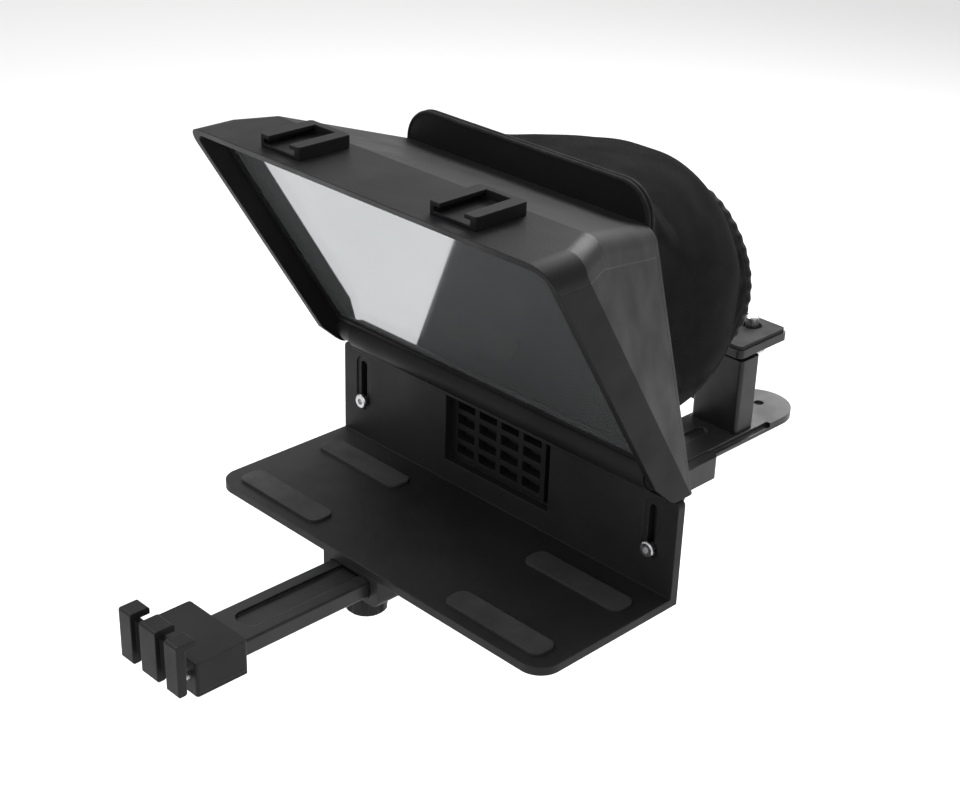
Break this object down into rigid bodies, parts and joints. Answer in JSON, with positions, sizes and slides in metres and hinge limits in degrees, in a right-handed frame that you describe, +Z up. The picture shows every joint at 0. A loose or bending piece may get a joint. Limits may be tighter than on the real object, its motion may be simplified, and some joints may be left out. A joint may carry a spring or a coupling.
{
  "type": "teleprompter",
  "caption": "Tablet teleprompter: tilting hood with beam-splitter glass and lens sleeve, sliding tablet tray with sprung jaw, and an adjustable camera slide.",
  "frame": {"origin": "centre of the mouth of the 1/4-inch tripod socket under the rail", "axes": "+Z up out of the stand, +Y from the reader towards the filming camera, +X to the right of the teleprompter as the reader faces it"},
  "size_m": [0.2, 0.3785, 0.2103],
  "materials": {
    "panel_plastic": "satin moulded",
    "lattice_plastic": "matte moulded",
    "rail_metal": "satin black anodised",
    "steel": "satin",
    "spring_steel": "drawn wire",
    "rubber": "matte",
    "knob_plastic": "textured",
    "hood_plastic": "fine textured",
    "frame_plastic": "matte",
    "splitter_glass": "half-silvered, clear",
    "sleeve_fabric": "woven, matte"
  },
  "bodies": {
    "base": {"base_frame": "panel_plastic", "panel_lattice": "lattice_plastic", "spine_block": "panel_plastic", "base_rail": "rail_metal", "thread_insert": "steel", "hinge_pins": "steel", "slot_screws": "steel", "spine_screws": "steel"},
    "tray": {"tray_plate": "panel_plastic", "tray_strips": "rubber", "arm_channel": "panel_plastic"},
    "arm_lock": {"arm_knob": "knob_plastic"},
    "arm": {"tray_arm": "rail_metal", "clamp_base": "panel_plastic", "clamp_cover": "panel_plastic", "jaw_springs": "spring_steel"},
    "jaw": {"clamp_jaw": "panel_plastic", "jaw_pad": "rubber", "guide_rods": "steel"},
    "hood": {"hood_top": "hood_plastic", "hood_side_right": "hood_plastic", "hood_side_left": "hood_plastic", "hood_sill": "hood_plastic", "glass_frame": "frame_plastic", "beam_splitter_glass": "splitter_glass", "glass_clips": "frame_plastic", "rear_plate": "hood_plastic", "sleeve_flange": "frame_plastic", "fabric_sleeve": "sleeve_fabric", "sleeve_hem": "sleeve_fabric", "cold_shoe_left": "hood_plastic", "cold_shoe_right": "hood_plastic"},
    "slide": {"camera_plate": "rail_metal", "riser_outer": "rail_metal"},
    "rail_lock": {"rail_knob": "knob_plastic"},
    "riser_lock": {"riser_knob": "knob_plastic"},
    "platform": {"riser_inner": "rail_metal", "camera_platform": "rail_metal", "platform_pad": "rubber"},
    "screw": {"camera_screw": "steel"}
  },
  "joints": [
    {"name": "hood_tilt", "type": "hinge", "parent": "base", "child": "hood", "pos_m": [0, -0.073, 0.084], "axis": [1, 0, 0], "range_deg": [0, 52]},
    {"name": "tray_height", "type": "slide", "parent": "base", "child": "tray", "axis": [0, 0, 1], "range_m": [-0.018, 0]},
    {"name": "arm_extension", "type": "slide", "parent": "tray", "child": "arm", "axis": [0, -1, 0], "range_m": [-0.04, 0.012]},
    {"name": "jaw_spring", "type": "slide", "parent": "arm", "child": "jaw", "axis": [0, -1, 0], "range_m": [0, 0.006], "stiffness_N_per_m": 400, "springref_m": -0.006, "deforming": ["jaw_springs"]},
    {"name": "arm_lock_turn", "type": "hinge", "parent": "tray", "child": "arm_lock", "pos_m": [-0.009, -0.138, 0.01], "axis": [0, 0, 1], "range_deg": [0, 270]},
    {"name": "camera_travel", "type": "slide", "parent": "base", "child": "slide", "axis": [0, 1, 0], "range_m": [-0.03, 0.02]},
    {"name": "rail_lock_turn", "type": "hinge", "parent": "base", "child": "rail_lock", "pos_m": [0, 0.046, 0.002], "axis": [0, 0, 1], "range_deg": [0, 270]},
    {"name": "camera_height", "type": "slide", "parent": "slide", "child": "platform", "axis": [0, 0, 1], "range_m": [0, 0.012]},
    {"name": "riser_lock_turn", "type": "hinge", "parent": "slide", "child": "riser_lock", "pos_m": [-0.017, 0.087, 0.032], "axis": [1, 0, 0], "range_deg": [0, 270]},
    {"name": "camera_screw_turn", "type": "hinge", "parent": "platform", "child": "screw", "pos_m": [0, 0.104, 0.06], "axis": [0, 0, 1], "continuous": true}
  ]
}
